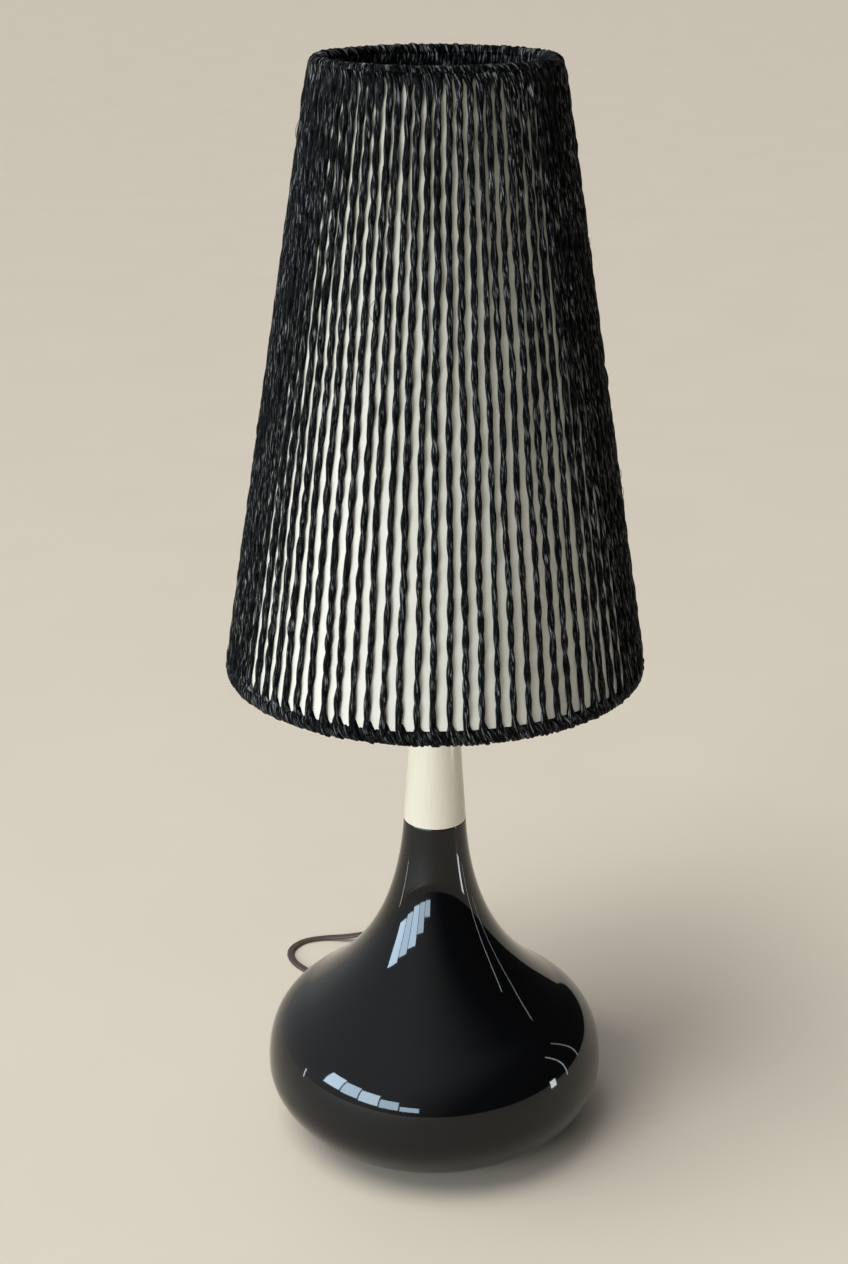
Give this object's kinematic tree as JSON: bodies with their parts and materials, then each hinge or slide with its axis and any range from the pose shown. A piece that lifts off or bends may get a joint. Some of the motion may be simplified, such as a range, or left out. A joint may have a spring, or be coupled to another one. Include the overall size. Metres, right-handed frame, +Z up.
{
  "type": "table lamp",
  "caption": "Table lamp with a glossy onion-shaped base, a tapered pale neck, a tall conical shade wound with dark string over a pale liner, and a lead with a rocker switch and a plug.",
  "frame": {"origin": "on the floor under the middle of the foot", "axes": "+Z up along the lamp's axis, +Y to the back, where the lead leaves, +X to the right"},
  "size_m": [0.2474, 0.3557, 0.661],
  "materials": {
    "black_glaze": "deep black glossy glaze",
    "green_felt": "matte felt",
    "zinc_steel": "satin zinc plating",
    "brown_rubber": "matte",
    "dark_moulding": "semi-gloss moulding",
    "brown_flex": "satin flexible cover",
    "cream_lacquer": "satin lacquer",
    "porcelain": "thin clear glaze",
    "brass": "satin",
    "brown_insulation": "satin",
    "blue_insulation": "satin",
    "brown_plastic": "semi-gloss moulding",
    "spring_steel": "bright",
    "nickel_plate": "bright nickel plating",
    "solder": "dull solder",
    "black_glass": "glossy, opaque",
    "frosted_glass": "frosted",
    "clear_glass": "clear",
    "shade_wire": "satin enamel",
    "black_string": "twisted paper string with a slight sheen",
    "cream_liner": "matte parchment",
    "cream_plastic": "semi-gloss moulding"
  },
  "bodies": {
    "lamp": {"base_body": "black_glaze", "felt_pad": "green_felt", "base_plate": "zinc_steel", "plate_washer": "zinc_steel", "plate_nut": "zinc_steel", "threaded_tube": "zinc_steel", "cord_relief": "brown_rubber", "cord_stop": "dark_moulding", "inner_cord": "brown_flex", "neck_seat": "dark_moulding", "neck_sleeve": "cream_lacquer", "neck_cap": "cream_lacquer", "holder_cap": "dark_moulding", "holder_body": "dark_moulding", "holder_insert": "porcelain", "terminal_screws": "brass", "screw_shell": "brass", "centre_contact": "brass", "brown_wire": "brown_insulation", "blue_wire": "blue_insulation", "lower_shade_ring": "dark_moulding", "lamp_lead": "brown_flex", "switch_lead": "brown_flex", "plug_lead": "brown_flex", "cord_coil": "brown_flex", "switch_bottom": "brown_plastic", "switch_top": "brown_plastic", "switch_pin": "zinc_steel", "switch_terminals": "brass", "switch_terminal_screws": "brass", "switch_spring": "spring_steel", "switch_wires": "blue_insulation", "switch_screws": "zinc_steel", "plug_bottom": "brown_plastic", "plug_top": "brown_plastic", "plug_screw": "zinc_steel", "plug_pins": "nickel_plate", "plug_sleeve": "brown_rubber"},
    "clamp_ring": {"upper_shade_ring": "dark_moulding"},
    "bulb": {"bulb_contact": "solder", "bulb_insulator": "black_glass", "bulb_cap": "nickel_plate", "bulb_glass": "frosted_glass", "bulb_stem": "clear_glass", "bulb_filament": "spring_steel"},
    "shade": {"fitter_ring": "shade_wire", "spider_arms": "shade_wire", "shade_struts": "shade_wire", "bottom_ring_wire": "shade_wire", "top_ring_wire": "shade_wire", "bottom_ring_wrap": "black_string", "top_ring_wrap": "black_string", "outer_strings": "black_string", "inner_strings": "black_string", "liner": "cream_liner"},
    "rocker": {"switch_rocker": "cream_plastic", "switch_contact": "brass"}
  },
  "joints": [
    {"name": "shade_turn", "type": "hinge", "parent": "lamp", "child": "shade", "pos_m": [0, 0, 0.334], "axis": [0, 0, 1], "continuous": true},
    {"name": "clamp_ring_turn", "type": "hinge", "parent": "lamp", "child": "clamp_ring", "pos_m": [0, 0, 0.339], "axis": [0, 0, 1], "range_deg": [0, 1080]},
    {"name": "bulb_lift", "type": "slide", "parent": "lamp", "child": "bulb", "axis": [0, 0, 1], "range_m": [0, 0.035]},
    {"name": "rocker_tilt", "type": "hinge", "parent": "lamp", "child": "rocker", "pos_m": [-0.005, 0.22, 0.0115], "axis": [0, 1, 0], "range_deg": [0, 18]}
  ]
}
